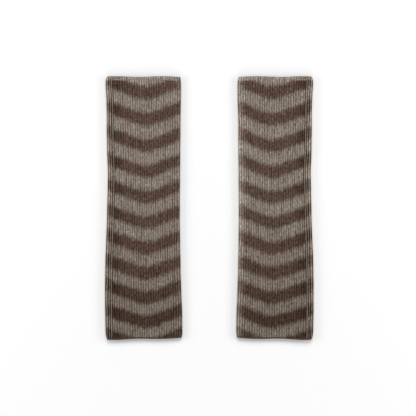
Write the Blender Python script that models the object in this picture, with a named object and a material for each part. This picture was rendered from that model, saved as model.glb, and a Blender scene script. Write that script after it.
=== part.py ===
"""A pair of ribbed knit leg warmers, laid flat side by side.

Each leg warmer is one knitted panel, wrapped round into a tube and joined by a lengthwise seam
that lies on the front, a little in from the outer fold. The tube is pressed flat: its front
panel lies on its back panel, and both ends stay open. A plain bound edge finishes each end.

Metres, +Z up. The pair rests on Z = 0, the ribs run along Y with the top edges at +Y, and the
two legs mirror each other about X = 0. A leg is worked out on the +X side, where "outer" is
the side away from its twin.
"""

import math
from collections import namedtuple

import bmesh
import bpy

# Lengths along the leg, from its top edge at TOP_Y to its bottom edge
LEG_LENGTH = 0.4198
TOP_Y = 0.2104
TOP_BAND = 0.0045
HEM_BAND = 0.0022
BAND_GAP = 0.0003

# The outline of a leg laid flat: how far down the leg, the X of its outer and inner folds, and
# how far the seam lies in from the outer fold. The calf is a little narrower than either end,
# and the last few millimetres round off the corners.
Station = namedtuple("Station", "down outer inner seam_in")
STATIONS = (
    Station(down=0.0000, outer=0.1632, inner=0.0480, seam_in=0.0063),
    Station(down=0.0030, outer=0.1648, inner=0.0466, seam_in=0.0079),
    Station(down=0.0080, outer=0.1654, inner=0.0460, seam_in=0.0084),
    Station(down=0.0180, outer=0.1652, inner=0.0459, seam_in=0.0085),
    Station(down=0.0380, outer=0.1639, inner=0.0461, seam_in=0.0085),
    Station(down=0.0740, outer=0.1635, inner=0.0468, seam_in=0.0087),
    Station(down=0.1140, outer=0.1630, inner=0.0472, seam_in=0.0088),
    Station(down=0.1540, outer=0.1618, inner=0.0475, seam_in=0.0089),
    Station(down=0.1960, outer=0.1625, inner=0.0478, seam_in=0.0087),
    Station(down=0.2420, outer=0.1637, inner=0.0478, seam_in=0.0089),
    Station(down=0.2900, outer=0.1655, inner=0.0470, seam_in=0.0091),
    Station(down=0.3380, outer=0.1663, inner=0.0456, seam_in=0.0091),
    Station(down=0.3800, outer=0.1660, inner=0.0442, seam_in=0.0090),
    Station(down=0.4048, outer=0.1655, inner=0.0437, seam_in=0.0089),
    Station(down=0.4128, outer=0.1651, inner=0.0441, seam_in=0.0085),
    Station(down=0.4172, outer=0.1640, inner=0.0452, seam_in=0.0074),
    Station(down=0.4198, outer=0.1624, inner=0.0468, seam_in=0.0058),
)

# The knit: a wall with a plain inside and ribs raised on its outside
FRONT_WALL = 0.0019
BACK_WALL = 0.0023
RIB_HEIGHT = 0.0009
EDGE_RIBS = 4
MAIN_RIBS = 30
INNER_FOLD_RIBS = 4
BACK_STRETCHES = 6
RIBS_PER_INSIDE_STEP = 2

# Height round one rib, from furrow to furrow
RibPoint = namedtuple("RibPoint", "share height")
RIB_PROFILE = (
    RibPoint(share=0.00, height=0.00),
    RibPoint(share=0.22, height=0.80),
    RibPoint(share=0.50, height=1.00),
    RibPoint(share=0.78, height=0.80),
)

# The space between the panels: nearly shut in the middle, open along the folds and at the mouths
MIDDLE_SPACE = 0.0005
FOLD_SPACE = 0.0022
FOLD_REACH = 0.013
MOUTH_SPACE = 0.0015
MOUTH_REACH = 0.028
ROLL_HEIGHT = 0.0005
ROLL_LENGTH = 0.118

# The mouths' edges wander along the leg, and the bottom one slants
EDGE_WAVE = 0.0006
EDGE_CREST = 0.11
EDGE_WAVELENGTH = 0.64
EDGE_REACH = 0.040
HEM_SLANT = 0.0024

# The linked seam: a narrow ridge in a furrow of its own
SEAM_WIDTH = 0.0018
SEAM_HEIGHT = 0.0013
SEAM_LIFT = 0.0003
SEAM_FURROW = 0.0028

# How a bound edge swells and rounds off, from the body outwards
BandRing = namedtuple("BandRing", "share swell")
TOP_RINGS = (
    BandRing(share=0.00, swell=0.45),
    BandRing(share=0.30, swell=0.85),
    BandRing(share=0.75, swell=0.75),
    BandRing(share=1.00, swell=0.05),
)
HEM_RINGS = (
    BandRing(share=0.00, swell=0.60),
    BandRing(share=0.50, swell=0.70),
    BandRing(share=1.00, swell=0.05),
)
BAND_FOLD_STEPS = 8
BAND_FRONT_STEPS = 16

SIDES = {"left": -1, "right": 1}

PathPoint = namedtuple("PathPoint", "x z normal_x normal_z height")


def clear_scene():
    for obj in list(bpy.data.objects):
        bpy.data.objects.remove(obj, do_unlink=True)


def mix(low, high, share):
    return low + (high - low) * share


def smooth_step(value):
    value = min(max(value, 0.0), 1.0)
    return value * value * (3 - 2 * value)


def station_at(down):
    """The outline this far down the leg, on a smooth curve through the table's rows."""
    last = len(STATIONS) - 1
    row = max(i for i in range(last) if STATIONS[i].down <= down)
    before, low = STATIONS[max(row - 1, 0)], STATIONS[row]
    high, after = STATIONS[row + 1], STATIONS[min(row + 2, last)]
    span = high.down - low.down
    t = (down - low.down) / span
    values = []
    for a, b, c, d in zip(before[1:], low[1:], high[1:], after[1:]):
        slope_low = (c - a) / (high.down - before.down) * span
        slope_high = (d - b) / (after.down - low.down) * span
        values.append(
            (2 * t**3 - 3 * t**2 + 1) * b
            + (t**3 - 2 * t**2 + t) * slope_low
            + (3 * t**2 - 2 * t**3) * c
            + (t**3 - t**2) * slope_high
        )
    return Station(down, *values)


def nearness(distance, reach):
    return math.exp(-((distance / reach) ** 2))


def space_at(station, x):
    """The space between the panels at this X: wider at the folds, at the mouths and on slow rolls."""
    to_fold = min(x - station.inner, station.outer - x)
    to_mouth = min(station.down, LEG_LENGTH - station.down)
    at_fold = nearness(to_fold, FOLD_REACH)
    across = (x - station.inner) / (station.outer - station.inner)
    roll = 0.5 - 0.5 * math.cos(math.tau * (station.down / ROLL_LENGTH + across))
    open_part = MOUTH_SPACE * nearness(to_mouth, MOUTH_REACH) + ROLL_HEIGHT * roll
    return mix(MIDDLE_SPACE + open_part, FOLD_SPACE, at_fold)


def front_height(station, x):
    """Z of the front panel's furrows."""
    return BACK_WALL + space_at(station, x) + FRONT_WALL


def fold_radius(station, fold_x):
    return front_height(station, fold_x) / 2


def way_round(station):
    """Lengths along the furrows, from under the outer fold: to its top, to the inner fold's, past it."""
    outer_turn = math.pi * fold_radius(station, station.outer)
    inner_turn = math.pi * fold_radius(station, station.inner)
    flat = station.outer - station.inner - (outer_turn + inner_turn) / math.pi
    return outer_turn, outer_turn + flat, outer_turn + flat + inner_turn


def fold_point(station, fold_x, side, angle, height):
    """A point on a fold at an angle above the level. side is 1 on the outer one, -1 on the inner."""
    radius = fold_radius(station, fold_x)
    normal_x, normal_z = side * math.cos(angle), math.sin(angle)
    # The ribs die away under the fold, where it is pressed on the floor.
    shown = smooth_step((angle + math.pi / 3) / (math.pi / 2))
    return PathPoint(
        fold_x + radius * (normal_x - side),
        radius + radius * normal_z,
        normal_x,
        normal_z,
        height * shown,
    )


def point_at(station, length, height):
    """The point this far round from under the outer fold, over the front, to under the inner one."""
    outer_top, inner_top, inner_under = way_round(station)
    if length < outer_top:
        angle = math.pi * (length / outer_top - 0.5)
        return fold_point(station, station.outer, 1, angle, height)
    if length > inner_top:
        angle = math.pi * (0.5 - (length - inner_top) / (inner_under - inner_top))
        return fold_point(station, station.inner, -1, angle, height)
    x = station.outer - fold_radius(station, station.outer) - (length - outer_top)
    return PathPoint(x, front_height(station, x), 0.0, 1.0, height)


def run(station, start, end, steps):
    return [point_at(station, mix(start, end, share), height) for share, height in steps]


def rib_steps(count):
    """(share of the way, height) of each point on a run of ribs, without the last furrow."""
    return [
        ((rib + point.share) / count, point.height)
        for rib in range(count)
        for point in RIB_PROFILE
    ]


def even_steps(count, height=0.0):
    return [(step / count, height) for step in range(count)]


def back_run(station):
    """Points across the resting face, from the inner fold to the outer one."""
    start = station.inner + fold_radius(station, station.inner)
    end = station.outer - fold_radius(station, station.outer)
    return [
        PathPoint(mix(start, end, share), 0.0, 0.0, -1.0, 0.0)
        for share, _ in even_steps(BACK_STRETCHES)
    ]


def seam_middle(station):
    """How far round the seam's middle lies."""
    outer_top = way_round(station)[0]
    return outer_top + station.seam_in - fold_radius(station, station.outer)


def ribbed_path(station):
    """Round the outside of the tube: up the outer fold, over the front, down the inner and under."""
    furrow_start = seam_middle(station) - SEAM_FURROW / 2
    furrow_end = seam_middle(station) + SEAM_FURROW / 2
    return (
        run(station, 0.0, furrow_start, rib_steps(EDGE_RIBS))
        + run(station, furrow_start, furrow_end, even_steps(1))
        + run(station, furrow_end, way_round(station)[2], rib_steps(MAIN_RIBS))
        + back_run(station)
    )


def plain_path(station, height):
    """The same way round with no ribs, raised all over by one height."""
    outer_top, inner_top, inner_under = way_round(station)
    return (
        run(station, 0.0, outer_top, even_steps(BAND_FOLD_STEPS, height))
        + run(station, outer_top, inner_top, even_steps(BAND_FRONT_STEPS, height))
        + run(station, inner_top, inner_under, even_steps(BAND_FOLD_STEPS, height))
        + back_run(station)
    )


def edge_offset(station, x, on_front):
    """How far the mouths' edges wander along Y at this X. The back panel's edge wanders less."""
    across = (station.outer - x) / (station.outer - station.inner)
    wave = EDGE_WAVE * math.cos(math.tau * (across - EDGE_CREST) / EDGE_WAVELENGTH)
    if not on_front:
        wave = wave / 2
    to_top = nearness(station.down, EDGE_REACH)
    to_hem = nearness(LEG_LENGTH - station.down, EDGE_REACH)
    slant = HEM_SLANT * (across - 0.5)
    return wave * to_top + (slant - wave) * to_hem


def placed(point, station, mirror, offset, depth=0.0):
    """World position of a path point, moved out by offset and in by depth, along its normal."""
    out = offset - depth
    x = point.x + point.normal_x * out
    z = point.z + point.normal_z * out
    y = TOP_Y - station.down + edge_offset(station, point.x, point.normal_z >= 0)
    return (mirror * x, y, z)


def inside_depth(point):
    """The wall's thickness below a path point: the pressed back panel is a little thicker."""
    return mix(BACK_WALL, FRONT_WALL, (point.normal_z + 1) / 2)


def ring(bm, path, station, mirror, rib_height=0.0, inside=False):
    verts = []
    for point in path:
        depth = inside_depth(point) if inside else 0.0
        verts.append(
            bm.verts.new(placed(point, station, mirror, point.height * rib_height, depth))
        )
    return verts


def bridge(bm, first, second):
    """Faces between two rings of the same number of points."""
    for i in range(len(first)):
        j = (i + 1) % len(first)
        bm.faces.new((first[i], first[j], second[j], second[i]))


def close_end(bm, outside, inside, outside_at_inside):
    """The cloth's cut end: a face for each step of the inner ring, out to the outer ring."""
    count = len(inside)
    for i in range(count):
        j = (i + 1) % count
        start, end = outside_at_inside[i], outside_at_inside[j]
        if end <= start:
            end += len(outside)
        along = [outside[k % len(outside)] for k in range(start, end + 1)]
        bm.faces.new([inside[j], inside[i], *along])


def tube(name, downs, outside_path, rib_height, inside_at, mirror):
    """A flattened tube of cloth through the sections at downs, open at both ends.

    inside_at lists which points of the outer path the plain inner ring stands below.
    """
    bm = bmesh.new()
    outer_rings, inner_rings = [], []
    for index, down in enumerate(downs):
        station = station_at(down)
        path = outside_path(station, index)
        outer_rings.append(ring(bm, path, station, mirror, rib_height))
        under = [path[i] for i in inside_at]
        inner_rings.append(ring(bm, under, station, mirror, inside=True))
    for first, second in zip(outer_rings, outer_rings[1:]):
        bridge(bm, first, second)
    for first, second in zip(inner_rings, inner_rings[1:]):
        bridge(bm, second, first)
    for end in (0, -1):
        close_end(bm, outer_rings[end], inner_rings[end], inside_at)
    bmesh.ops.recalc_face_normals(bm, faces=bm.faces)
    return mesh_object(name, bm)


def mesh_object(name, bm):
    mesh = bpy.data.meshes.new(name)
    bm.to_mesh(mesh)
    bm.free()
    mesh.shade_smooth()
    mesh.set_sharp_from_angle(angle=math.radians(50))
    return bpy.data.objects.new(name, mesh)


def ribbed_inside_steps():
    """Which points of ribbed_path the inner ring stands below: furrows, and more in the folds."""
    per_rib = len(RIB_PROFILE)
    main_start = EDGE_RIBS * per_rib + 1
    fold_start = main_start + (MAIN_RIBS - INNER_FOLD_RIBS) * per_rib
    back_start = main_start + MAIN_RIBS * per_rib
    return (
        list(range(0, main_start, per_rib // 2))
        + list(range(main_start, fold_start, per_rib * RIBS_PER_INSIDE_STEP))
        + list(range(fold_start, back_start, per_rib // 2))
        + list(range(back_start, back_start + BACK_STRETCHES))
    )


def body_downs():
    """Where the body's sections lie: at its two ends, and at the table's rows between them."""
    first = TOP_BAND + BAND_GAP
    last = LEG_LENGTH - HEM_BAND - BAND_GAP
    between = [row.down for row in STATIONS if first + BAND_GAP < row.down < last - BAND_GAP]
    return [first, *between, last]


def body(name, mirror):
    """The ribbed tube, between the two bound edges."""
    return tube(
        name,
        body_downs(),
        lambda station, _: ribbed_path(station),
        RIB_HEIGHT,
        ribbed_inside_steps(),
        mirror,
    )


def bound_edge(name, body_end, free_end, rings, mirror):
    """A plain band round a mouth, swollen along its middle and rounded off at its free end."""
    downs = [mix(body_end, free_end, ring_row.share) for ring_row in rings]
    return tube(
        name,
        downs,
        lambda station, index: plain_path(station, rings[index].swell),
        RIB_HEIGHT,
        list(range(2 * BAND_FOLD_STEPS + BAND_FRONT_STEPS + BACK_STRETCHES)),
        mirror,
    )


def seam_ring(bm, station, mirror):
    """A half-round section of the seam, its foot lying over the furrow."""
    foot = [(share, SEAM_LIFT) for share in (1.0, 0.5, 0.0)]
    crown = [
        ((1 - math.cos(angle)) / 2, SEAM_LIFT + SEAM_HEIGHT * math.sin(angle))
        for angle in (math.pi * step / 6 for step in range(1, 6))
    ]
    start = seam_middle(station) - SEAM_WIDTH / 2
    verts = []
    for share, lift in foot + crown:
        point = point_at(station, start + SEAM_WIDTH * share, 0.0)
        verts.append(bm.verts.new(placed(point, station, mirror, lift)))
    return verts


def seam(name, mirror):
    """The linked seam, a ridge along the front between the two bound edges."""
    bm = bmesh.new()
    rings = [seam_ring(bm, station_at(down), mirror) for down in body_downs()]
    for before, after in zip(rings, rings[1:]):
        bridge(bm, before, after)
    bm.faces.new(rings[0])
    bm.faces.new(reversed(rings[-1]))
    bmesh.ops.recalc_face_normals(bm, faces=bm.faces)
    return mesh_object(name, bm)


def knit_material(name, colour, roughness=0.95):
    material = bpy.data.materials.new(name)
    material.use_nodes = True
    shader = material.node_tree.nodes["Principled BSDF"]
    shader.inputs["Base Color"].default_value = (*colour, 1.0)
    shader.inputs["Roughness"].default_value = roughness
    shader.inputs["Metallic"].default_value = 0.0
    return material


def build_pair():
    collection = bpy.data.collections.new("leg_warmers")
    bpy.context.scene.collection.children.link(collection)
    rib_knit = knit_material("rib_knit", (0.150, 0.115, 0.092))
    edge_knit = knit_material("edge_knit", (0.300, 0.260, 0.220))
    hem_knit = knit_material("hem_knit", (0.080, 0.058, 0.046))
    seam_knit = knit_material("seam_knit", (0.180, 0.145, 0.120))
    for side, mirror in SIDES.items():
        hem_end = LEG_LENGTH - HEM_BAND
        pieces = (
            (body(f"{side}_body", mirror), rib_knit),
            (seam(f"{side}_seam", mirror), seam_knit),
            (bound_edge(f"{side}_top_edge", TOP_BAND, 0.0, TOP_RINGS, mirror), edge_knit),
            (bound_edge(f"{side}_hem_edge", hem_end, LEG_LENGTH, HEM_RINGS, mirror), hem_knit),
        )
        for obj, material in pieces:
            obj.data.materials.append(material)
            collection.objects.link(obj)


clear_scene()
build_pair()
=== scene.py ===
import math

import bmesh
import bpy
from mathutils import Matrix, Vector, geometry, noise


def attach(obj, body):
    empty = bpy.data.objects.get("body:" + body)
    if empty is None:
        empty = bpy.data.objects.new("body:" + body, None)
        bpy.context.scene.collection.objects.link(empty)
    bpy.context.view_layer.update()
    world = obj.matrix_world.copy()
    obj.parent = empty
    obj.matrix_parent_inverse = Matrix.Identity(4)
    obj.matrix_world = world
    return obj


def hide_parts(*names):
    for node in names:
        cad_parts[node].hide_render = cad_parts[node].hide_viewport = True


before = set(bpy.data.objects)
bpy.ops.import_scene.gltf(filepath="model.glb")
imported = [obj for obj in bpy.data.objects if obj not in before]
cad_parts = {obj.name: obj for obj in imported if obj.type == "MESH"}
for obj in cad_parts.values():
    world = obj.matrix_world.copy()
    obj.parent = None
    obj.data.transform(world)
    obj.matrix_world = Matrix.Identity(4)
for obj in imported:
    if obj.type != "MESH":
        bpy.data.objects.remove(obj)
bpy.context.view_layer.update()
print("packed frame loaded:", ", ".join(sorted(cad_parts)))

# The pair of rib-knit leg warmers lies flat, each an open tube pressed together.
# A leg is worked out on the +X side and mirrored for the left; its outer side has the seam.
# How far down the leg, the outer and inner fold's x, and how far the seam lies in from the fold.
outline = (
    {"down": 0.0000, "outer": 0.1634, "inner": 0.0474, "seamIn": 0.0068},
    {"down": 0.0030, "outer": 0.1649, "inner": 0.0463, "seamIn": 0.0084},
    {"down": 0.0080, "outer": 0.1654, "inner": 0.0460, "seamIn": 0.0089},
    {"down": 0.0180, "outer": 0.1652, "inner": 0.0459, "seamIn": 0.0090},
    {"down": 0.0380, "outer": 0.1639, "inner": 0.0461, "seamIn": 0.0090},
    {"down": 0.0740, "outer": 0.1635, "inner": 0.0468, "seamIn": 0.0092},
    {"down": 0.1140, "outer": 0.1630, "inner": 0.0472, "seamIn": 0.0093},
    {"down": 0.1540, "outer": 0.1618, "inner": 0.0475, "seamIn": 0.0094},
    {"down": 0.1960, "outer": 0.1625, "inner": 0.0478, "seamIn": 0.0092},
    {"down": 0.2420, "outer": 0.1637, "inner": 0.0478, "seamIn": 0.0094},
    {"down": 0.2900, "outer": 0.1655, "inner": 0.0470, "seamIn": 0.0096},
    {"down": 0.3380, "outer": 0.1663, "inner": 0.0456, "seamIn": 0.0096},
    {"down": 0.3800, "outer": 0.1660, "inner": 0.0442, "seamIn": 0.0095},
    {"down": 0.4048, "outer": 0.1655, "inner": 0.0437, "seamIn": 0.0094},
    {"down": 0.4128, "outer": 0.1651, "inner": 0.0438, "seamIn": 0.0090},
    {"down": 0.4172, "outer": 0.1641, "inner": 0.0443, "seamIn": 0.0079},
    {"down": 0.4198, "outer": 0.1626, "inner": 0.0455, "seamIn": 0.0063},
)

# The pressed tube, in metres
tube = {
    "length": 0.4198,  # top edge to bottom edge
    "topY": 0.2104,  # y of the top edge
    "frontWall": 0.0019,  # from a furrow to the plain inside
    "backWall": 0.0023,
    "ribHeight": 0.0009,
    "backGroove": 0.00035,  # the pressed ribs on the resting side
    "middleSpace": 0.0005,  # between the panels
    "foldSpace": 0.0022,
    "foldReach": 0.013,
    "mouthSpace": 0.0015,
    "mouthReach": 0.028,
    "rollHeight": 0.0005,  # slow rolls along the front
    "rollLength": 0.118,
    "edgeWave": 0.0006,  # the mouths' edges wander along y, half as far on the back
    "edgeCrest": 0.11,  # the wave's crest and its length, as shares of the width
    "edgeWavelength": 0.64,
    "edgeReach": 0.040,
    "hemSlant": 0.0024,
    "creaseEnd": 0.020,  # a crease dies out over this length
    "uneven": 0.0004,  # soft unevenness of the front panel: its height, mean and size
    "unevenMean": 0.6,
    "unevenAcross": 0.034,
    "unevenAlong": 0.052,
    "resting": -0.9,  # the cloth rests where its outward direction's z is below this
    "outsideDepth": 0.0010,  # what lies deeper in the wall than this goes with the inside
}

# Each leg's own looks, and the soft troughs and rolls pressed into its cloth: from and to as x and
# metres down, then width and height
legs = {
    "left": {
        "mirror": -1,
        "seed": 11.0,  # starts this leg's noise
        "innerFade": (0.45, 0.06),  # how far light fibres hide the dark yarn at the inner fold
        "innerFoldHighlight": (0.14, 0.14),  # painted highlight: how much lighter the inner fold is, near the top and below
        "frontCreases": (
            {"from": (0.146, 0.02), "to": (0.148, 0.20), "width": 0.0035, "height": -0.00030},
            {"from": (0.148, 0.24), "to": (0.145, 0.40), "width": 0.0040, "height": -0.00028},
            {"from": (0.118, 0.05), "to": (0.098, 0.19), "width": 0.0080, "height": 0.00045},
            {"from": (0.070, 0.21), "to": (0.082, 0.37), "width": 0.0090, "height": 0.00040},
            {"from": (0.056, 0.10), "to": (0.058, 0.30), "width": 0.0045, "height": -0.00022},
        ),
        "backCreases": (
            {"from": (0.130, 0.09), "to": (0.112, 0.24), "width": 0.0080, "height": 0.00030},
            {"from": (0.068, 0.20), "to": (0.090, 0.34), "width": 0.0090, "height": 0.00030},
        ),
    },
    "right": {
        "mirror": 1,
        "seed": 47.0,
        "innerFade": (0.62, 0.47),
        "innerFoldHighlight": (0.48, 0.76),
        "frontCreases": (
            {"from": (0.147, 0.03), "to": (0.146, 0.17), "width": 0.0040, "height": -0.00028},
            {"from": (0.146, 0.22), "to": (0.149, 0.39), "width": 0.0035, "height": -0.00030},
            {"from": (0.083, 0.06), "to": (0.072, 0.20), "width": 0.0085, "height": 0.00042},
            {"from": (0.125, 0.19), "to": (0.110, 0.35), "width": 0.0090, "height": 0.00045},
        ),
        "backCreases": (
            {"from": (0.088, 0.07), "to": (0.076, 0.21), "width": 0.0090, "height": 0.00030},
            {"from": (0.132, 0.22), "to": (0.118, 0.36), "width": 0.0080, "height": 0.00028},
        ),
    },
}


def mix(low, high, share):
    return low + (high - low) * share


def smoothStep(value):
    value = min(max(value, 0.0), 1.0)
    return value * value * (3 - 2 * value)


def nearness(distance, reach):
    return math.exp(-((distance / reach) ** 2))


def outlineAt(down):
    # a smooth curve through the outline's rows
    last = len(outline) - 1
    at = max(i for i in range(last) if outline[i]["down"] <= max(down, 0.0))
    low, high = outline[at], outline[at + 1]
    before, after = outline[max(at - 1, 0)], outline[min(at + 2, last)]
    span = high["down"] - low["down"]
    t = (down - low["down"]) / span
    row = {"down": down}
    for key in ("outer", "inner", "seamIn"):
        slopeLow = (high[key] - before[key]) / (high["down"] - before["down"]) * span
        slopeHigh = (after[key] - low[key]) / (after["down"] - low["down"]) * span
        row[key] = (
            (2 * t**3 - 3 * t**2 + 1) * low[key]
            + (t**3 - 2 * t**2 + t) * slopeLow
            + (3 * t**2 - 2 * t**3) * high[key]
            + (t**3 - t**2) * slopeHigh
        )
    row["outerRadius"] = furrowHeight(row, row["outer"]) / 2
    row["innerRadius"] = furrowHeight(row, row["inner"]) / 2
    row["outerTop"] = math.pi * row["outerRadius"]
    flat = row["outer"] - row["inner"] - row["outerRadius"] - row["innerRadius"]
    row["innerTop"] = row["outerTop"] + flat
    row["innerUnder"] = row["innerTop"] + math.pi * row["innerRadius"]
    row["wholeWay"] = row["innerUnder"] + flat
    row["seamWay"] = row["outerTop"] + row["seamIn"] - row["outerRadius"]
    row["vWay"] = row["outerTop"] + row["outer"] - row["outerRadius"] - chevron["centreX"]
    return row


def furrowHeight(row, x):
    # z of the front panel's furrows: more space at the folds and the mouths
    toFold = min(x - row["inner"], row["outer"] - x)
    toMouth = min(row["down"], tube["length"] - row["down"])
    across = (x - row["inner"]) / (row["outer"] - row["inner"])
    roll = 0.5 - 0.5 * math.cos(math.tau * (row["down"] / tube["rollLength"] + across))
    space = tube["mouthSpace"] * nearness(toMouth, tube["mouthReach"]) + tube["rollHeight"] * roll
    space = mix(tube["middleSpace"] + space, tube["foldSpace"], nearness(toFold, tube["foldReach"]))
    return tube["backWall"] + space + tube["frontWall"]


def pointRound(row, way):
    # x, z and the outward direction, this far round from under the outer fold over the front
    if way < row["outerTop"]:
        angle = math.pi * (way / row["outerTop"] - 0.5)
        outX, outZ, radius = math.cos(angle), math.sin(angle), row["outerRadius"]
        return row["outer"] + radius * (outX - 1), radius * (1 + outZ), outX, outZ
    if way > row["innerUnder"]:
        return row["inner"] + row["innerRadius"] + way - row["innerUnder"], 0.0, 0.0, -1.0
    if way > row["innerTop"]:
        angle = math.pi * (0.5 - (way - row["innerTop"]) / (row["innerUnder"] - row["innerTop"]))
        outX, outZ, radius = -math.cos(angle), math.sin(angle), row["innerRadius"]
        return row["inner"] + radius * (outX + 1), radius * (1 + outZ), outX, outZ
    x = row["outer"] - row["outerRadius"] - (way - row["outerTop"])
    return x, furrowHeight(row, x), 0.0, 1.0


def edgeShift(row, x, onFront):
    # how far the mouths' wave and the hem's slant move a point along y
    across = (row["outer"] - x) / (row["outer"] - row["inner"])
    turn = math.tau * (across - tube["edgeCrest"]) / tube["edgeWavelength"]
    wave = tube["edgeWave"] * math.cos(turn)
    wave = wave if onFront else wave / 2
    toTop = nearness(row["down"], tube["edgeReach"])
    toHem = nearness(tube["length"] - row["down"], tube["edgeReach"])
    return wave * toTop + (tube["hemSlant"] * (across - 0.5) - wave) * toHem


def creased(creases, x, down):
    # how far the creases near this spot raise the cloth
    raised, spot = 0.0, Vector((x, down))
    for crease in creases:
        start, end = Vector(crease["from"]), Vector(crease["to"])
        near, share = geometry.intersect_point_line(spot, start, end)
        beyond = max(-share, share - 1, 0.0) * (end - start).length
        away = (spot - near.to_2d()).length
        raised += crease["height"] * nearness(away, crease["width"]) * nearness(beyond, tube["creaseEnd"])
    return raised


def placed(leg, row, way, lift):
    # a point on the leg, lifted off its furrows along the outward direction
    x, z, outX, outZ = pointRound(row, way)
    y = tube["topY"] - row["down"] + edgeShift(row, x, outZ >= 0)
    if outZ > 0:
        at = (x / tube["unevenAcross"], row["down"] / tube["unevenAlong"], leg["seed"])
        uneven = tube["uneven"] * (tube["unevenMean"] + noise.noise(Vector(at)))
        z += (uneven + creased(leg["frontCreases"], x, row["down"])) * outZ
    elif outZ < tube["resting"] and lift > -tube["outsideDepth"]:
        lift -= max(creased(leg["backCreases"], x, row["down"]), 0.0)  # off the ground, the inside stays
    return Vector((leg["mirror"] * (x + outX * lift), y, max(z + outZ * lift, 0.0)))


def wallUnder(row, way):
    outZ = pointRound(row, way)[3]
    return mix(tube["backWall"], tube["frontWall"], (outZ + 1) / 2)


# The two-yarn chevron, in metres; it closes round the tube with a V on either side
chevron = {
    "centreX": 0.1003,  # the V's lowest point on the front
    "outerWay": 0.0640,  # from the lowest point round to the peak at each fold
    "innerWay": 0.0543,
    "outerSlope": 0.435,
    "innerSlope": 0.510,
    "round": 0.0145,  # the V's rounded point
    "flattenFrom": 0.034,  # the arms ease off toward the folds
    "flattenTo": 0.056,
    "flatten": 0.92,
    "firstStripe": 0.0150,  # from the top edge, at the V's lowest point
    "stripes": 23.23,  # per metre at the top
    "tighten": 3.493,  # stripes per metre more, for each metre down
    "shareFrom": 0.245,  # where the dark share of a stripe and its gap changes, and from what to what
    "shareTo": 0.320,
    "darkShare": (0.500, 0.532),
    "soft": 0.235,  # share of a stripe over which the yarns change
    "mismatch": 0.0018,  # the stripes meet this much askew at the seam
    "ribJitter": 0.0007,  # the yarns change a little off the line: by ribs, in long drifts, by stitches
    "longJitter": 0.0072,
    "fineJitter": 0.0052,
}
wrapLength = 2 * (chevron["outerWay"] + chevron["innerWay"])

# The ribbed body: rows along the leg and points across each rib
bodyKnit = {
    "edgeRibs": 4,  # round the outer fold, beyond the seam
    "mainRibs": 30,
    "backRibs": 30,
    "pointsPerRib": 8,
    "pointsPerBackRib": 4,
    "furrowPoints": 2,
    "seamFurrow": 0.0028,
    "top": 0.0046,
    "bottom": 0.4175,
    "rows": 132,
    "insideRows": 40,
    "crowding": 0.7,  # rows stand closer at the mouths
    "crest": 0.7,  # a power below 1 makes the crests broad and the furrows narrow
    "meanHeight": 0.95,  # of tube's ribHeight
    "mouthHeight": 0.7,  # the share of it that is left at the mouths
    "mouthReach": 0.012,
    "raisedFrom": -math.pi / 3,  # the ribs rise from under the folds to a little above their middle
    "raisedOver": math.pi / 2,
    "swayEase": 1 / 16,  # no sway at either end of a stretch of ribs
}

# How the ribs wander: how much, how far a rib differs from the next, and over what length along it.
# On the panel neighbours drift sideways together, and each rib sways a little by itself
ribDrifts = {
    "panel": {"size": 0.0011, "across": 0.11, "along": 0.040, "seed": 0},
    "rib": {"size": 0.00030, "across": 2.7, "along": 0.022, "seed": 9},
    "height": {"size": 0.30, "across": 1.9, "along": 0.05, "seed": 3},
}


def ribDrift(leg, row, column, name):
    drift = ribDrifts[name]
    rib = math.floor(column["rib"])
    at = (rib * drift["across"], row["down"] / drift["along"], leg["seed"] + drift["seed"])
    return drift["size"] * noise.noise(Vector(at))


def knitColumns():
    # each column of points: its stretch, the share of the way along it, its rib and its height
    columns, rib = [], 0
    for part, ribs, points in (
        ("edge", bodyKnit["edgeRibs"], bodyKnit["pointsPerRib"]),
        ("main", bodyKnit["mainRibs"], bodyKnit["pointsPerRib"]),
        ("back", bodyKnit["backRibs"], bodyKnit["pointsPerBackRib"]),
    ):
        if part == "main":
            count = bodyKnit["furrowPoints"]
            columns += [{"part": "furrow", "share": i / count, "rib": rib} for i in range(count)]
        for i in range(ribs * points + (part == "back")):
            columns.append({"part": part, "share": i / points / ribs, "rib": rib + i / points})
        rib += ribs
    for column in columns:
        column["height"] = math.sin(math.pi * (column["rib"] % 1.0)) ** bodyKnit["crest"]
    return columns


def columnWay(leg, row, column):
    # how far round a column lies in this row, with the rib's own sway
    half = bodyKnit["seamFurrow"] / 2
    ends = {
        "edge": (0.0, row["seamWay"] - half),
        "furrow": (row["seamWay"] - half, row["seamWay"] + half),
        "main": (row["seamWay"] + half, row["innerUnder"]),
        "back": (row["innerUnder"], row["wholeWay"]),
    }[column["part"]]
    way = mix(*ends, column["share"])
    if column["part"] == "furrow":
        return way
    toEnd = min(column["share"], 1 - column["share"]) / bodyKnit["swayEase"]
    settled = math.sin(math.pi / 2 * min(toEnd, 1.0))
    return way + (ribDrift(leg, row, column, "panel") + ribDrift(leg, row, column, "rib")) * settled


def ribLift(leg, row, column, way):
    # how far a point stands off the furrows: less at the mouths, none under the pressed folds
    height = tube["ribHeight"] * column["height"]
    height *= bodyKnit["meanHeight"] + ribDrift(leg, row, column, "height")
    toMouth = min(row["down"], tube["length"] - row["down"])
    height *= mix(bodyKnit["mouthHeight"], 1.0, smoothStep(toMouth / bodyKnit["mouthReach"]))
    outX, outZ = pointRound(row, way)[2:]
    raised = (math.atan2(outZ, abs(outX)) - bodyKnit["raisedFrom"]) / bodyKnit["raisedOver"]
    return mix(-tube["backGroove"] * (1 - column["height"]), height, smoothStep(raised))


def downAt(share):
    eased = share - bodyKnit["crowding"] * math.sin(math.tau * share) / math.tau
    return mix(bodyKnit["top"], bodyKnit["bottom"], eased)


def uvsAt(row, rib, way):
    # knit: rib and metres down. wrap: metres round from the V's lowest point and metres down
    return (rib, row["down"]), ((way - row["vWay"]) / row["wholeWay"] * wrapLength, row["down"])


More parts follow.
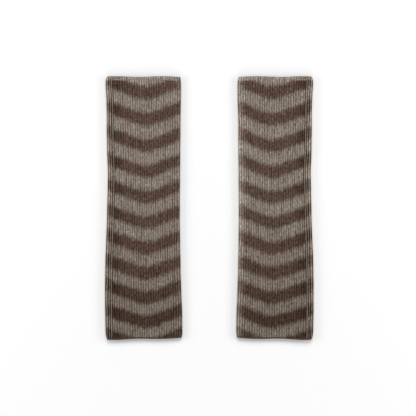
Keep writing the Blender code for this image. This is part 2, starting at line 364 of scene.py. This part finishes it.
def finishMesh(bm, name, material):
    mesh = bpy.data.meshes.new(name)
    bm.to_mesh(mesh)
    bm.free()
    mesh.materials.append(material)
    obj = bpy.data.objects.new(name, mesh)
    bpy.context.scene.collection.objects.link(obj)
    return obj


# Points of a cloth that lie this near are one, which closes it round the tube
mergeDistance = 0.00001


def makeCloth(name, columnCount, rowCount, place, material):
    # a flat grid of cloth, given its UVs, wrapped and closed: place gives a point and its UVs
    bm = bmesh.new()
    layers = [bm.loops.layers.uv.new(layer) for layer in ("knit", "wrap")]
    grid = bmesh.ops.create_grid(bm, x_segments=columnCount, y_segments=rowCount, size=0.5)["verts"]
    spots = {}
    for vert in grid:
        column = round((vert.co.x + 0.5) * columnCount)
        level = round((0.5 - vert.co.y) * rowCount)
        spots[vert] = place(column, level)
    for face in bm.faces:
        for loop in face.loops:
            for layer, value in zip(layers, spots[loop.vert][1:]):
                loop[layer].uv = value
    for vert, spot in spots.items():
        vert.co = spot[0]
    bmesh.ops.remove_doubles(bm, verts=bm.verts[:], dist=mergeDistance)

    # the seam's two open ends get caps, which take each corner's UVs from the cloth beside it
    rims = [edge for edge in bm.edges if edge.is_boundary]
    caps = set(bmesh.ops.holes_fill(bm, edges=rims, sides=0)["faces"]) if rims else set()
    for loop in [loop for cap in caps for loop in cap.loops]:
        near = next(other for other in loop.vert.link_loops if other.face not in caps)
        for layer in layers:
            loop[layer].uv = near[layer].uv

    for face in bm.faces:
        face.smooth = True
    bmesh.ops.recalc_face_normals(bm, faces=bm.faces[:])
    return finishMesh(bm, name, material)


def makeBody(side, leg, material):
    # one grid runs down the outside, round the hem's rim, up the inside and closes at the top rim
    columns = knitColumns()
    rows, insideRows = bodyKnit["rows"], bodyKnit["insideRows"]
    outside = [outlineAt(downAt(i / rows)) for i in range(rows + 1)]
    inside = [outlineAt(downAt(1 - i / insideRows)) for i in range(insideRows + 1)]
    levels = [(row, False) for row in outside] + [(row, True) for row in inside] + [(outside[0], False)]

    def spot(column, level):
        (row, within), column = levels[level], columns[column]
        way = columnWay(leg, row, column)
        lift = -wallUnder(row, way) if within else ribLift(leg, row, column, way)
        return placed(leg, row, way, lift), *uvsAt(row, column["rib"], way)

    return makeCloth(f"{side}Body", len(columns) - 1, len(levels) - 1, spot, material)


# The bound edges: how far along the band and how deep in its wall each line of points lies
bandSection = (
    {"along": 0.00, "depth": 0.00, "roll": 0.0},
    {"along": 0.35, "depth": 0.00, "roll": 0.0},
    {"along": 0.62, "depth": 0.00, "roll": 0.2},
    {"along": 0.80, "depth": 0.00, "roll": 0.9},
    {"along": 0.92, "depth": 0.08, "roll": 1.0},
    {"along": 0.99, "depth": 0.30, "roll": 0.5},
    {"along": 1.00, "depth": 0.55, "roll": 0.0},
    {"along": 0.93, "depth": 0.84, "roll": 0.0},
    {"along": 0.72, "depth": 0.99, "roll": 0.0},
    {"along": 0.35, "depth": 1.00, "roll": 0.0},
    {"along": 0.00, "depth": 1.00, "roll": 0.0},
    {"along": 0.00, "depth": 0.50, "roll": 0.0},
    {"along": 0.00, "depth": 0.00, "roll": 0.0},
)
topEdge = {
    "bodyEnd": 0.0045,  # the band runs from here to its free end, in metres down
    "freeEnd": 0.0000,
    "ribs": (1.0, 0.45),  # share of the body's rib height, where the band starts and ends
    "roll": 0.00042,
    "chain": 0.00014,
    "lobe": 0.00038,  # the bound stitches pull the edge into faint scallops
    "smooth": 0.014,  # hardly any ribs for this far in from the seam
}
hemEdge = {
    "bodyEnd": 0.4176,
    "freeEnd": 0.4198,
    "ribs": (1.0, 0.60),
    "roll": 0.00030,
    "chain": 0.00016,
    "lobe": 0.00012,
    "smooth": 0.002,
}
edgeStitches = {
    "perRib": 2,  # chain stitches to a rib
    "rollEase": 0.9,  # the roll comes in as the edge turns up from the ground
    "smoothed": 0.8,  # share of the ribs' height that goes beside the seam
    "smoothStart": 6,  # how fast it goes and comes back
    "smoothEnd": 2,
    "lobeLength": 0.011,
}


def makeEdge(side, leg, name, band, material):
    # a band round a mouth that carries the ribs on to a small roll of bound stitches
    columns = knitColumns()

    def spot(column, level):
        column, point = columns[column], bandSection[level]
        row = outlineAt(mix(band["bodyEnd"], band["freeEnd"], point["along"]))
        way = columnWay(leg, row, column)
        lift = ribLift(leg, row, column, way)
        if lift > 0:
            lift *= mix(*band["ribs"], point["along"])
            beside = (way - row["seamWay"]) / band["smooth"]
            start = smoothStep(edgeStitches["smoothStart"] * beside)
            end = smoothStep(edgeStitches["smoothEnd"] * (1 - beside))
            lift *= 1 - edgeStitches["smoothed"] * start * end
        turnedUp = smoothStep((pointRound(row, way)[3] + 1) / edgeStitches["rollEase"])
        chain = math.cos(math.tau * edgeStitches["perRib"] * column["rib"])
        lift += (band["roll"] + band["chain"] * chain) * point["roll"] * turnedUp
        at = placed(leg, row, way, mix(lift, -wallUnder(row, way), point["depth"]))
        lobes = noise.noise(Vector((at.x / edgeStitches["lobeLength"], 0.0, leg["seed"] + band["freeEnd"])))
        at.y += band["lobe"] * lobes * point["along"]
        return at, *uvsAt(row, column["rib"], way)

    return makeCloth(f"{side}{name}", len(columns) - 1, len(bandSection) - 1, spot, material)


# The linked seam: a row of slanted loops along the outer side
seamRidge = {
    "top": 0.0047,
    "bottom": 0.4174,
    "halfWidth": 0.00095,
    "halfHeight": 0.00080,
    "middle": 1.05,  # half-heights from the furrow to its middle
    "loop": 0.0032,  # length of one linking stitch
    "swelling": 0.20,
    "sway": 0.00012,
    "around": 10,
    "rows": 640,
}


def makeSeam(side, leg, material):
    count, rowCount = seamRidge["around"], seamRidge["rows"]
    ends = (seamRidge["top"], seamRidge["bottom"])
    rows = [outlineAt(mix(*ends, i / rowCount)) for i in range(rowCount + 1)]

    def spot(column, level):
        row, angle = rows[level], math.tau * column / count
        beat = math.tau * row["down"] / seamRidge["loop"]
        size = 1 + seamRidge["swelling"] * math.cos(beat + angle)
        across = seamRidge["sway"] * math.sin(beat) - seamRidge["halfWidth"] * size * math.cos(angle)
        way = row["seamWay"] + across
        lift = seamRidge["halfHeight"] * (seamRidge["middle"] + size * math.sin(angle))
        return placed(leg, row, way, lift), *uvsAt(row, row["down"] / seamRidge["loop"], way)

    return makeCloth(f"{side}Seam", count, rowCount, spot, material)


def linear(hexColor):
    channels = [int(hexColor[i:i + 2], 16) / 255 for i in (0, 2, 4)]
    return [c / 12.92 if c <= 0.04045 else ((c + 0.055) / 1.055) ** 2.4 for c in channels] + [1.0]


def addNode(tree, kind, settings, inputs, output=0):
    # inputs stand in the node's own order or by name or number, each a value or another node's output
    node = tree.nodes.new(f"ShaderNode{kind}")
    for key, value in settings.items():
        setattr(node, key, value)
    for key, value in (inputs if isinstance(inputs, dict) else dict(enumerate(inputs))).items():
        if isinstance(value, bpy.types.NodeSocket):
            tree.links.new(value, node.inputs[key])
        else:
            node.inputs[key].default_value = value
    return node.outputs[output]


def startMaterial(name, finish):
    material = bpy.data.materials.new(name)
    material.use_nodes = True
    shader = material.node_tree.nodes["Principled BSDF"]
    for key, value in finish.items():
        shader.inputs[key].default_value = value
    return material, material.node_tree, shader


# Settings that come up again and again in the knit
plus, minus = {"operation": "ADD"}, {"operation": "SUBTRACT"}
times, timesPlus = {"operation": "MULTIPLY"}, {"operation": "MULTIPLY_ADD"}
over, magnitude = {"operation": "DIVIDE"}, {"operation": "ABSOLUTE"}
eased, straight = {"interpolation_type": "SMOOTHSTEP"}, {"interpolation_type": "LINEAR"}
colorMix = {"data_type": "RGBA"}  # its share is at input 0, its colours at 6 and 7, and it gives output 2

# Carded wool-blend yarn, knitted: wholly matt, with a soft nap that greys at a low angle
woolFinish = {
    "Roughness": 0.95,
    "IOR": 1.54,
    "Specular IOR Level": 0.15,
    "Sheen Weight": 0.22,
    "Sheen Roughness": 0.45,
    "Sheen Tint": linear("B8ADA0"),
}

yarns = {
    "light": ("675F56", "9F9388"),  # heathered grey-beige, its darker and lighter fibres
    "dark": ("3C2C22", "6C564A"),
    "seam": "57453A",
    "carded": (0.33, 0.67),  # the noise at which a fibre is wholly the one or the other
    "shade": (0.90, 1.00, 1.13),  # shade in wool is warm: each channel's power of the tone
    "seamShare": 0.55,  # the dark yarn shows this much in the linking loops
    "stitch": 0.0026,  # a course is about 1.6 mm, drawn coarser so that it shows
    "stitchLean": 1.6,  # how steeply the two sides of a stitch meet
    "chains": 2,  # bound stitches to a rib
    "relief": 0.0004,
    "stitchRelief": 0.35,  # the stitches' share beside the fuzz
    "bodyBump": 0.8,
    "edgeBump": 0.6,
}

# Tones are shares of the yarn's own: painted shade in the furrows, painted highlights on the crests
wales = {
    "span": (0.02, 0.42),  # from the bottom of a furrow to the crest, in ribs
    # the crests' painted highlight
    "crest": 1.08,
    "furrow": (0.36, 0.80),  # painted shade in the furrows: some pressed deep, some hardly show
    "foldFurrowShade": 0.62,  # painted shade, deeper still along the inner fold
    "drift": (0.80, 1.20),  # slow changes along a wale
    "noise": (0.30, 0.70),  # the noise at which a furrow or a wale is wholly the one or the other
    "stripFurrowShade": 0.20,  # painted shade in the furrows beyond the seam, where the ribs stand apart
    "stripCrestHighlight": (1.52, 1.30),  # painted highlight on the outermost ribs and on the one beside the seam
    "stripTint": (1.0, 0.93, 0.875, 1.0),  # the light between them is warm
    "seamShade": (0.05, 0.40, 0.62, 1.0),  # painted shade beside the seam: from and to, in ribs from the seam, and the tones there
    "besideSeam": 0.57,  # painted shade on the dark yarn in the dip beside the seam
    "smoothTop": 0.86,  # the top edge where it has hardly any ribs
    "hem": (0.45, 0.95),  # the dark cast-on edge: painted shade in its furrows, and the tone on its loops
}

# Where the looks change: metres down, metres round from the V's lowest point, ribs from under the
# outer fold or from a furrow, and the values at either end
seamRib = bodyKnit["edgeRibs"]
backRib = seamRib + bodyKnit["mainRibs"]
changes = {
    "firstDark": {"by": "down", "from": 0.0054, "to": 0.0074, "values": (0.0, 1.0)},
    "topTone": {"by": "down", "from": 0.001, "to": 0.014, "values": (1.30, 1.0)},
    # painted shade: darker down the leg, on the cloth, in its furrows, on the dark yarn and on the seam; a
    # painted highlight on the last rows
    "paintedShadeDown": {"by": "down", "from": 0.140, "to": 0.420, "values": (1.0, 0.738)},
    "seamPaintedShadeDown": {"by": "down", "from": 0.140, "to": 0.420, "values": (1.0, 0.90)},
    "lastRowsHighlight": {"by": "down", "from": 0.405, "to": 0.413, "values": (0.0, 0.08)},
    "furrowShadeDown": {"by": "down", "from": 0.230, "to": 0.330, "values": (1.0, 0.86)},
    "darkYarnShadeDown": {"by": "down", "from": 0.320, "to": 0.385, "values": (1.0, 0.75)},
    "topRim": {"by": "down", "from": 0.0, "to": 0.0014, "values": (0.38, 1.0)},
    "innerFade": {"by": "down", "from": 0.012, "to": 0.034},  # these two take each leg's values
    "innerFoldHighlight": {"by": "down", "from": 0.055, "to": 0.145},
    "foldFade": {"by": "round", "from": 0.040, "to": 0.053, "values": (0.0, 1.0)},
    "foldFurrowShade": {"by": "round", "from": 0.034, "to": 0.048, "values": (0.0, 1.0)},
    "foldHighlight": {"by": "round", "from": 0.036, "to": 0.053, "values": (0.0, 1.0)},
    "underInnerFold": {"by": "round", "from": 0.059, "to": 0.077, "values": (1.0, 0.0)},
    "nearSeam": {"by": "round", "from": -0.0500, "to": -0.0300, "values": (1.0, 0.0)},
    "smoothStart": {"by": "round", "from": -0.0572, "to": -0.0560, "values": (0.0, 1.0)},
    "smoothEnd": {"by": "round", "from": -0.0440, "to": -0.0400, "values": (1.0, 0.0)},
    "strip": {"by": "rib", "from": seamRib + 0.05, "to": seamRib - 0.05, "values": (0.0, 1.0)},
    "stripWide": {"by": "rib", "from": seamRib + 0.4, "to": seamRib - 0.1, "values": (0.0, 1.0)},
    "outerFold": {"by": "rib", "from": 0.0, "to": 0.8, "values": (0.0, 1.0)},
    "back": {"by": "rib", "from": backRib, "to": backRib + bodyKnit["backRibs"], "values": (0.0, 1.0)},
    "stripFibres": {"by": "rib", "from": seamRib - 1.05, "to": seamRib - 0.95, "values": (0.42, 0.32)},
    "onWale": {"by": "toFurrow", "from": 0.12, "to": 0.40, "values": (0.0, 1.0)},
}

# Noise by ribs: how far a rib differs from the next, and how fast it changes along a metre
ribNoises = {
    "yarnChange": {"seed": 0, "apart": 3.7, "perMetre": 42.0, "detail": 1.0},
    "furrow": {"seed": 6, "apart": 4.3, "perMetre": 38.0, "detail": 1.0},
    "drift": {"seed": 2, "apart": 5.3, "perMetre": 70.0, "detail": 2.0},
}
# Noise of the fibres, in metres across and along
fibreNoises = {
    "yarnChange": {"seed": 5, "across": 0.0011, "along": 0.0022, "detail": 1.0},
    "heather": {"seed": 0, "across": 0.0021, "along": 0.0044, "detail": 2.0},
    "fuzz": {"seed": 7, "across": 0.0006, "along": 0.0009, "detail": 3.0},
    "edgeFuzz": {"seed": 8, "across": 0.0006, "along": 0.0006, "detail": 3.0},
}
noiseRoughness = 0.6


def knitCoordinates(tree):
    # the piece's own UVs, with the rib that a point is on and how far it is from a furrow
    knit, wrap = (
        addNode(tree, "SeparateXYZ", {}, [addNode(tree, "UVMap", {"uv_map": name}, [])]).node.outputs
        for name in ("knit", "wrap")
    )
    return {
        "rib": knit[0],
        "index": addNode(tree, "Math", {"operation": "FLOOR"}, [knit[0]]),
        "toFurrow": addNode(tree, "Math", {"operation": "PINGPONG"}, [knit[0], 0.5]),
        "down": knit[1],
        "round": wrap[0],
    }


def changing(tree, spot, name, values=None):
    # eases from one value to the other over the stretch that the table gives
    row = changes[name]
    values = values or row["values"]
    return addNode(tree, "MapRange", eased, [spot[row["by"]], row["from"], row["to"], *values])


def changingTwice(tree, spot, first, second):
    # both of these, such as in over one stretch and out over another
    return addNode(tree, "Math", times, [changing(tree, spot, first), changing(tree, spot, second)])


def noiseAt(tree, leg, x, y, row):
    at = addNode(tree, "CombineXYZ", {}, [x, y, leg["seed"] + row["seed"]])
    inputs = {"Vector": at, "Scale": 1.0, "Detail": row["detail"], "Roughness": noiseRoughness}
    return addNode(tree, "TexNoise", {}, inputs)


def fibreNoise(tree, spot, leg, name):
    row = fibreNoises[name]
    x = addNode(tree, "Math", over, [spot["round"], row["across"]])
    y = addNode(tree, "Math", over, [spot["down"], row["along"]])
    return noiseAt(tree, leg, x, y, row)


def ribNoise(tree, spot, leg, name, index):
    row = ribNoises[name]
    x = addNode(tree, "Math", times, [index, row["apart"]])
    y = addNode(tree, "Math", times, [spot["down"], row["perMetre"]])
    return noiseAt(tree, leg, x, y, row)


def yarnWander(tree, spot, leg, askew):
    # how far off its line the yarn changes: rib by rib, in long drifts and stitch by stitch
    ribSeed = addNode(tree, "Math", plus, [spot["index"], leg["seed"]])
    perRib = addNode(tree, "TexWhiteNoise", {"noise_dimensions": "1D"}, {"W": ribSeed}, "Value")
    wander = askew
    for source, size in (
        (perRib, chevron["ribJitter"]),
        (ribNoise(tree, spot, leg, "yarnChange", spot["index"]), chevron["longJitter"]),
        (fibreNoise(tree, spot, leg, "yarnChange"), chevron["fineJitter"]),
    ):
        away = addNode(tree, "Math", minus, [source, 0.5])  # the noises lie round a half
        wander = addNode(tree, "Math", timesPlus, [away, size, wander])
    return wander


def chevronLine(tree, spot):
    # metres down the V's lowest point, for the stripe that a point is on: the V rises on both sides of
    # its rounded point, steeper on the inner one, and turns at the folds
    beyond = addNode(tree, "Math", {"operation": "GREATER_THAN"}, [spot["round"], 2 * chevron["innerWay"]])
    way = addNode(tree, "Math", timesPlus, [beyond, -wrapLength, spot["round"]])
    outer = addNode(tree, "Math", {"operation": "LESS_THAN"}, [way, 0.0])
    reach, slope = (
        addNode(tree, "MapRange", straight, [outer, 0.0, 1.0, chevron["inner" + key], chevron["outer" + key]])
        for key in ("Way", "Slope")
    )
    away = addNode(tree, "Math", magnitude, [way])
    away = addNode(tree, "Math", {"operation": "PINGPONG"}, [away, reach])
    arm = addNode(tree, "Math", timesPlus, [away, away, chevron["round"] ** 2])
    arm = addNode(tree, "Math", {"operation": "SQRT"}, [arm])
    rise = addNode(tree, "Math", minus, [arm, chevron["round"]])
    flatten = [away, chevron["flattenFrom"], chevron["flattenTo"], 1.0, chevron["flatten"]]
    rise = addNode(tree, "Math", times, [rise, addNode(tree, "MapRange", eased, flatten)])
    return addNode(tree, "Math", timesPlus, [rise, slope, spot["down"]])


def darkYarnMask(tree, spot, leg, askew):
    # 1 where the dark yarn is knitted, 0 where the light one is
    line = chevronLine(tree, spot)
    along = addNode(tree, "Math", plus, [line, yarnWander(tree, spot, leg, askew)])
    along = addNode(tree, "Math", minus, [along, chevron["firstStripe"]])
    rate = addNode(tree, "Math", timesPlus, [along, chevron["tighten"], chevron["stripes"]])
    phase = addNode(tree, "Math", timesPlus, [along, rate, chevron["soft"] / 2])
    stripe = addNode(tree, "Math", {"operation": "FRACT"}, [phase])
    span = (chevron["shareFrom"], chevron["shareTo"])
    share = addNode(tree, "MapRange", eased, [line, *span, *chevron["darkShare"]])
    past = addNode(tree, "Math", minus, [stripe, share])
    begins = addNode(tree, "MapRange", eased, [stripe, 0.0, chevron["soft"]])
    ends = addNode(tree, "MapRange", eased, [past, 0.0, chevron["soft"], 1.0, 0.0])
    mask = addNode(tree, "Math", times, [begins, ends])

    # none in the first rows, and light fibres show through at the inner fold
    mask = addNode(tree, "Math", times, [mask, changing(tree, spot, "firstDark")])
    fade = changing(tree, spot, "innerFade", leg["innerFade"])
    fade = addNode(tree, "Math", times, [fade, changingTwice(tree, spot, "foldFade", "underInnerFold")])
    return addNode(tree, "Math", times, [mask, addNode(tree, "Math", minus, [1.0, fade])])


def heathered(tree, spot, leg, name):
    # one yarn: darker and lighter fibres carded together
    share = addNode(tree, "MapRange", straight, [fibreNoise(tree, spot, leg, "heather"), *yarns["carded"]])
    low, high = (linear(color) for color in yarns[name])
    return addNode(tree, "Mix", colorMix, {0: share, 6: low, 7: high}, 2)


def lengthLightAndShade(tree, spot, fall):
    # a little paler at the top, painted shade over the last two thirds, and a painted highlight where the
    # last rows catch the light
    low = addNode(tree, "Math", plus, [changing(tree, spot, fall), changing(tree, spot, "lastRowsHighlight")])
    return addNode(tree, "Math", times, [changing(tree, spot, "topTone"), low])


def furrowTone(tree, spot, leg, strip):
    # painted shade in the furrows, no two alike: deeper along the inner fold and toward the hem, deepest
    # beyond the seam
    index = addNode(tree, "Math", {"operation": "ROUND"}, [spot["rib"]])
    deep = ribNoise(tree, spot, leg, "furrow", index)
    furrow = addNode(tree, "MapRange", eased, [deep, *wales["noise"], *wales["furrow"]])
    fold = changingTwice(tree, spot, "foldFurrowShade", "underInnerFold")
    fold = addNode(tree, "MapRange", straight, [fold, 0.0, 1.0, 1.0, wales["foldFurrowShade"]])
    furrow = addNode(tree, "Math", times, [furrow, fold])
    furrow = addNode(tree, "Math", times, [furrow, changing(tree, spot, "furrowShadeDown")])
    return addNode(tree, "MapRange", straight, [strip, 0.0, 1.0, furrow, wales["stripFurrowShade"]])


def waleTone(tree, spot, leg):
    # from painted shade in the furrow to a painted highlight on the crest, with slow changes along each wale,
    # painted shade beside the seam, a painted highlight along the inner fold, and the painted light and shade
    # of the whole length
    strip = changingTwice(tree, spot, "stripWide", "outerFold")
    besideSeam = (changes["stripFibres"]["from"], changes["stripFibres"]["to"])
    crest = addNode(tree, "MapRange", straight, [spot["rib"], *besideSeam, *wales["stripCrestHighlight"]])
    crest = addNode(tree, "MapRange", straight, [strip, 0.0, 1.0, wales["crest"], crest])
    furrow = furrowTone(tree, spot, leg, strip)
    wale = addNode(tree, "MapRange", eased, [spot["toFurrow"], *wales["span"], furrow, crest])
    # painted shade in the dip beside the seam
    toSeam = addNode(tree, "Math", minus, [spot["rib"], seamRib])
    toSeam = addNode(tree, "Math", magnitude, [toSeam])
    seamShade = addNode(tree, "MapRange", eased, [toSeam, *wales["seamShade"]])
    tone = addNode(tree, "Math", times, [wale, seamShade])
    drift = ribNoise(tree, spot, leg, "drift", spot["index"])
    drift = addNode(tree, "MapRange", straight, [drift, *wales["noise"], *wales["drift"]])
    tone = addNode(tree, "Math", times, [tone, drift])
    # a painted highlight along the inner fold
    paintedHighlight = changing(tree, spot, "innerFoldHighlight", leg["innerFoldHighlight"])
    fold = changingTwice(tree, spot, "foldHighlight", "underInnerFold")
    tone = addNode(tree, "Math", times, [tone, addNode(tree, "Math", timesPlus, [fold, paintedHighlight, 1.0])])
    return addNode(tree, "Math", times, [tone, lengthLightAndShade(tree, spot, "paintedShadeDown")])


def toned(tree, color, tone):
    powers = [addNode(tree, "Math", {"operation": "POWER"}, [tone, power]) for power in yarns["shade"]]
    return addNode(tree, "VectorMath", times, [color, addNode(tree, "CombineXYZ", {}, powers)])


def addRelief(tree, shader, height, fuzz, strength):
    relief = addNode(tree, "Math", timesPlus, [height, yarns["stitchRelief"], fuzz])
    bump = addNode(tree, "Bump", {}, {"Strength": strength, "Distance": yarns["relief"], "Height": relief})
    tree.links.new(bump, shader.inputs["Normal"])


def ribKnitMaterial(side, leg):
    # rib-knit wool blend in two carded yarns: soft wales with painted highlights, painted shade in the
    # furrows, heathered fibres
    material, tree, shader = startMaterial(f"{side}RibKnitWool", woolFinish)
    spot = knitCoordinates(tree)

    # the strip beyond the seam is a little askew, and the back makes up for it
    askew = addNode(tree, "Math", plus, [changing(tree, spot, "strip"), changing(tree, spot, "back")])
    askew = addNode(tree, "Math", times, [askew, chevron["mismatch"]])
    mask = darkYarnMask(tree, spot, leg, askew)

    # light fibres show on the wales of that strip
    strip = changingTwice(tree, spot, "strip", "outerFold")
    fibres = changingTwice(tree, spot, "onWale", "stripFibres")
    fibres = addNode(tree, "Math", times, [strip, fibres])
    mask = addNode(tree, "Math", times, [mask, addNode(tree, "Math", minus, [1.0, fibres])])

    # painted shade darkens the dark yarn in the dip beside the seam, and more painted shade deepens it low
    # down
    beside = changingTwice(tree, spot, "nearSeam", "outerFold")
    beside = addNode(tree, "MapRange", straight, [beside, 0.0, 1.0, 1.0, wales["besideSeam"]])
    depth = addNode(tree, "Math", times, [beside, changing(tree, spot, "darkYarnShadeDown")])
    dark = toned(tree, heathered(tree, spot, leg, "dark"), depth)
    knit = addNode(tree, "Mix", colorMix, {0: mask, 6: heathered(tree, spot, leg, "light"), 7: dark}, 2)
    knit = toned(tree, knit, waleTone(tree, spot, leg))
    tint = addNode(tree, "Mix", colorMix, {0: strip, 6: (1.0, 1.0, 1.0, 1.0), 7: wales["stripTint"]}, 2)
    tree.links.new(addNode(tree, "VectorMath", times, [knit, tint]), shader.inputs["Base Color"])

    # relief: V stitches down each wale, over the fuzz of the yarn
    course = addNode(tree, "Math", over, [spot["down"], yarns["stitch"]])
    course = addNode(tree, "Math", timesPlus, [spot["toFurrow"], yarns["stitchLean"], course])
    course = addNode(tree, "Math", times, [course, math.tau])
    stitch = addNode(tree, "Math", {"operation": "SINE"}, [course])
    addRelief(tree, shader, stitch, fibreNoise(tree, spot, leg, "fuzz"), yarns["bodyBump"])
    return material


def finishEdge(tree, shader, spot, leg, yarn, tone):
    # an edge in one yarn, with a chain of bound stitches for its relief
    color = toned(tree, heathered(tree, spot, leg, yarn), tone)
    tree.links.new(color, shader.inputs["Base Color"])
    chain = addNode(tree, "Math", times, [spot["rib"], yarns["chains"] * math.tau])
    chain = addNode(tree, "Math", {"operation": "SINE"}, [chain])
    addRelief(tree, shader, chain, fibreNoise(tree, spot, leg, "edgeFuzz"), yarns["edgeBump"])


def topEdgeMaterial(side, leg):
    # the bound-off edge in light yarn: the wales run into it, and its last round lies in shade
    material, tree, shader = startMaterial(f"{side}BoundTopEdge", woolFinish)
    spot = knitCoordinates(tree)
    smooth = changingTwice(tree, spot, "smoothStart", "smoothEnd")
    tone = waleTone(tree, spot, leg)
    tone = addNode(tree, "MapRange", straight, [smooth, 0.0, 1.0, tone, wales["smoothTop"]])
    tone = addNode(tree, "Math", times, [tone, changing(tree, spot, "topRim")])
    finishEdge(tree, shader, spot, leg, "light", tone)
    return material


def hemEdgeMaterial(side, leg):
    # the cast-on edge: tight loops of dark yarn, with painted shade in their furrows; their dark line is
    # partly painted shade where the edge turns under
    material, tree, shader = startMaterial(f"{side}CastOnHem", woolFinish)
    spot = knitCoordinates(tree)
    tone = addNode(tree, "MapRange", eased, [spot["toFurrow"], *wales["span"], *wales["hem"]])
    finishEdge(tree, shader, spot, leg, "dark", tone)
    return material


def seamMaterial(side, leg):
    # linking loops pulled from both panels: the stripes show in them, but paler
    material, tree, shader = startMaterial(f"{side}LinkedSeam", woolFinish)
    spot = knitCoordinates(tree)
    mask = addNode(tree, "Math", times, [darkYarnMask(tree, spot, leg, 0.0), yarns["seamShare"]])
    light, dark = heathered(tree, spot, leg, "light"), linear(yarns["seam"])
    loops = addNode(tree, "Mix", colorMix, {0: mask, 6: light, 7: dark}, 2)
    # painted shade, darker down the seam
    loops = toned(tree, loops, lengthLightAndShade(tree, spot, "seamPaintedShadeDown"))
    tree.links.new(loops, shader.inputs["Base Color"])
    return material


# Each leg's body, top edge, hem edge and seam, made in place of the frame's parts, which are hidden, and
# attached to the root
for side, leg in legs.items():
    body = makeBody(side, leg, ribKnitMaterial(side, leg))
    top = makeEdge(side, leg, "TopEdge", topEdge, topEdgeMaterial(side, leg))
    hem = makeEdge(side, leg, "HemEdge", hemEdge, hemEdgeMaterial(side, leg))
    seam = makeSeam(side, leg, seamMaterial(side, leg))
    for piece, node, slot in (
        (body, "body", "rib_knit"),
        (top, "top_edge", "edge_knit"),
        (hem, "hem_edge", "hem_knit"),
        (seam, "seam", "seam_knit"),
    ):
        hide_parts(f"{side}_{node}")
        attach(piece, "root")
    print(f"{side} leg made")

# A sheet of matt studio paper under soft light: an even white with hardly any shine
studio = {"floor": 6.0, "white": (0.86, 0.86, 0.86, 1.0), "world": 0.19, "worldColor": (1.0, 1.0, 1.0, 1.0)}
paperFinish = {"Base Color": studio["white"], "Roughness": 0.9, "Specular IOR Level": 0.2}


def makeFloor():
    bm = bmesh.new()
    bmesh.ops.create_grid(bm, x_segments=1, y_segments=1, size=studio["floor"] / 2)
    floor = finishMesh(bm, "floor", startMaterial("paperSheet", paperFinish)[0])


# Soft panels round the pair: compass angle from +Y, height angle, distance, size and watts
panels = {
    "keyPanel": {"turn": 0, "rise": 46, "away": 2.6, "size": (1.8, 1.4), "watts": 52.0},
    "leftPanel": {"turn": -90, "rise": 25, "away": 1.5, "size": (0.8, 0.5), "watts": 9.1},
    "rightPanel": {"turn": 90, "rise": 25, "away": 1.5, "size": (0.8, 0.5), "watts": 9.1},
    "hemPanel": {"turn": 180, "rise": 27, "away": 1.5, "size": (0.8, 0.6), "watts": 7.3},
}


def makePanel(name, panel):
    light = bpy.data.lights.new(name, "AREA")
    light.shape = "RECTANGLE"
    light.size, light.size_y = panel["size"]
    light.energy = panel["watts"]
    obj = bpy.data.objects.new(name, light)
    turn, rise = math.radians(panel["turn"]), math.radians(panel["rise"])
    toLight = Vector((math.sin(turn) * math.cos(rise), math.cos(turn) * math.cos(rise), math.sin(rise)))
    obj.location = toLight * panel["away"]
    obj.rotation_euler = (-toLight).to_track_quat("-Z", "Y").to_euler()
    bpy.context.scene.collection.objects.link(obj)


makeFloor()
for name, panel in panels.items():
    makePanel(name, panel)

world = bpy.data.worlds.new("studio")
world.use_nodes = True
background = world.node_tree.nodes["Background"]
background.inputs["Color"].default_value = studio["worldColor"]
background.inputs["Strength"].default_value = studio["world"]
bpy.context.scene.world = world
bpy.context.scene.view_settings.view_transform = "Standard"
print("studio lit")

# Straight above the pair, with a long lens
view = {
    "lens": 135.0,
    "sensor": 36.0,
    "pixel": 0.0016,  # a pixel of the photo, on the cloth's upper face
    "pixels": 416,
    "cloth": 0.006,  # height of that face
    "centre": (-0.0021, 0.0001),
    "clipEnd": 20.0,
}
camera = bpy.data.objects.new("camera", bpy.data.cameras.new("camera"))
camera.data.lens = view["lens"]
camera.data.sensor_width = view["sensor"]
height = view["cloth"] + view["pixel"] * view["pixels"] * view["lens"] / view["sensor"]
camera.location = (*view["centre"], height)
camera.data.clip_end = view["clipEnd"]
bpy.context.scene.collection.objects.link(camera)
bpy.context.scene.camera = camera
